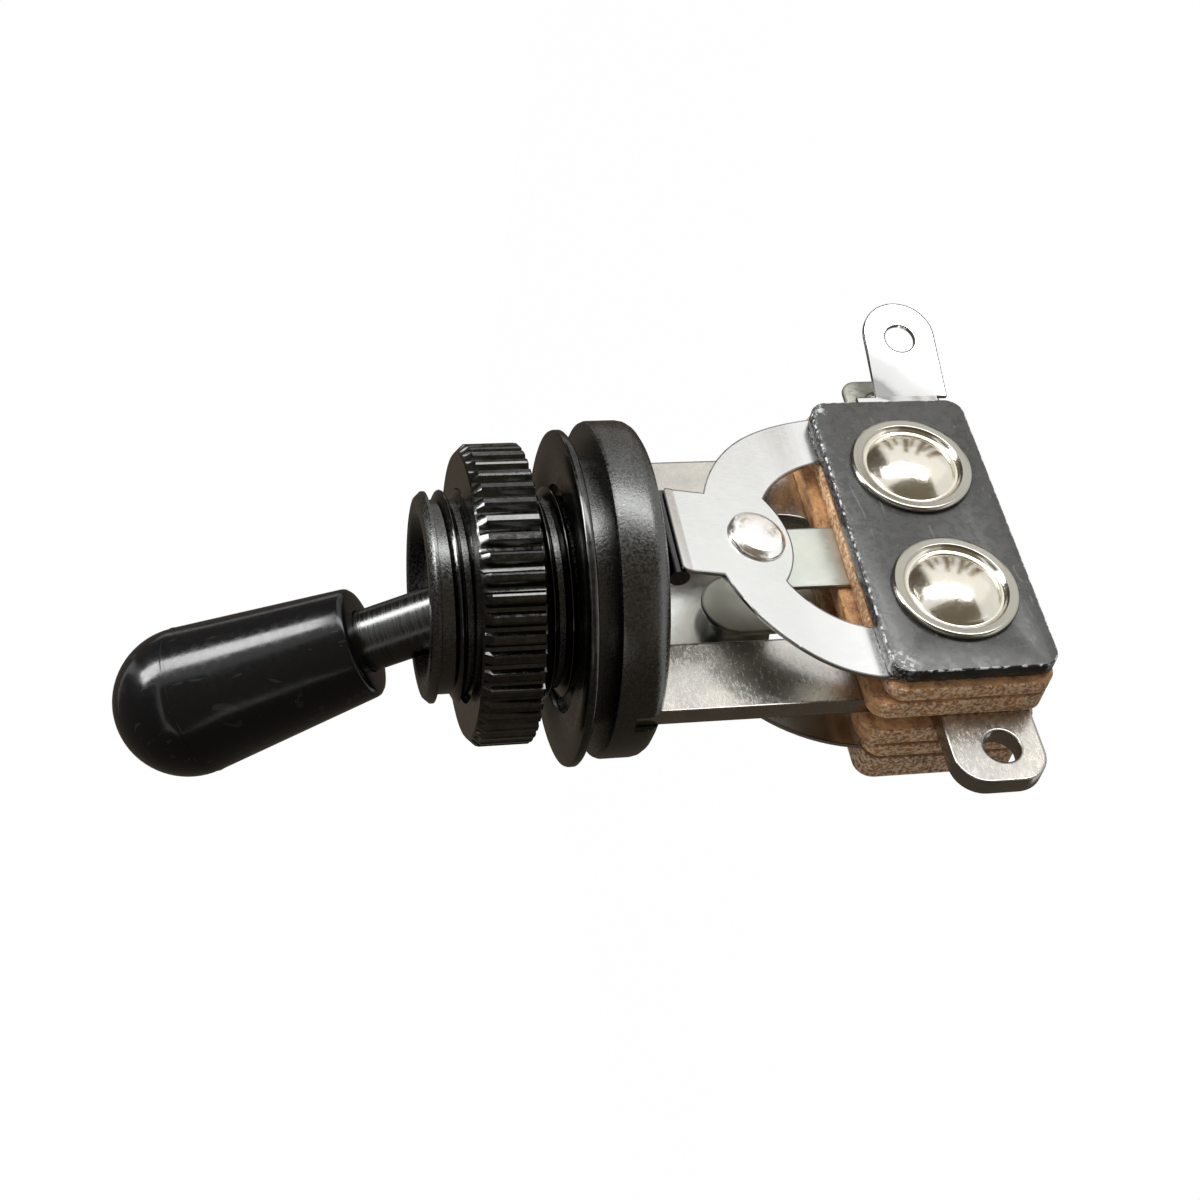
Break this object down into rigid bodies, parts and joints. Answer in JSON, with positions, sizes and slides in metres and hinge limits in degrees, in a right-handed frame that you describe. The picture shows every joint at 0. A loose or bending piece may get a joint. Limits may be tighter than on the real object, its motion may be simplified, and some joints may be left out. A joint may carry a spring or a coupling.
{
  "type": "panel toggle switch",
  "caption": "Panel toggle switch with a threaded bushing, a knurled nut and a black bat lever that lifts open leaf-spring contacts in a riveted stack.",
  "frame": {"origin": "on the bushing's axis, in the plane of the panel washer's outer face, where the back of the panel lies", "axes": "+Z along the bushing, out of the panel; +X towards the contact lugs; -Y towards the black cover plate, +Y the way the lever's tip leans"},
  "size_m": [0.033, 0.0225, 0.0511],
  "materials": {
    "tip_black": "glossy black moulded tip",
    "lever_black": "black finished steel rod",
    "pin_steel": "plain steel pin",
    "bushing_black": "black, fine grain on the flange's rim",
    "nut_black": "glossy black plating",
    "washer_black": "glossy black plating",
    "bracket_nickel": "satin nickel plate",
    "plate_black": "black paper-phenolic sheet with a dull sheen",
    "plate_brown": "brown paper-phenolic sheet",
    "spacer_brown": "mottled orange-brown phenolic, layered edges",
    "leaf_spring": "bright spring metal",
    "fixed_contact": "tinned spring metal",
    "contact_silver": "polished silver",
    "rivet_nickel": "warm nickel, turned",
    "sleeve_insulation": "plain insulating tube"
  },
  "bodies": {
    "frame": {"pivot_pin": "pin_steel", "bushing": "bushing_black", "panel_washer": "washer_black", "bracket": "bracket_nickel", "front_plate": "plate_black", "rear_plate": "plate_brown", "front_moving_leaf": "leaf_spring", "rear_moving_leaf": "leaf_spring", "front_moving_contact": "contact_silver", "rear_moving_contact": "contact_silver", "front_fixed_contact": "fixed_contact", "rear_fixed_contact": "fixed_contact", "front_contact_button": "contact_silver", "rear_contact_button": "contact_silver", "front_outer_spacer": "spacer_brown", "front_inner_spacer": "spacer_brown", "rear_inner_spacer": "spacer_brown", "rear_outer_spacer": "spacer_brown", "left_rivet": "rivet_nickel", "right_rivet": "rivet_nickel", "left_sleeve": "sleeve_insulation", "right_sleeve": "sleeve_insulation"},
    "lever": {"lever": "lever_black", "lever_tip": "tip_black"},
    "nut": {"knurled_nut": "nut_black"}
  },
  "joints": [
    {"name": "lever_swing", "type": "hinge", "parent": "frame", "child": "lever", "pos_m": [0, 0, 0.003], "axis": [1, 0, 0], "range_deg": [0, 52], "deforming": ["front_moving_leaf", "rear_moving_leaf"]},
    {"name": "nut_travel", "type": "slide", "parent": "frame", "child": "nut", "axis": [0, 0, 1], "range_m": [-0.002, 0.0021]}
  ]
}
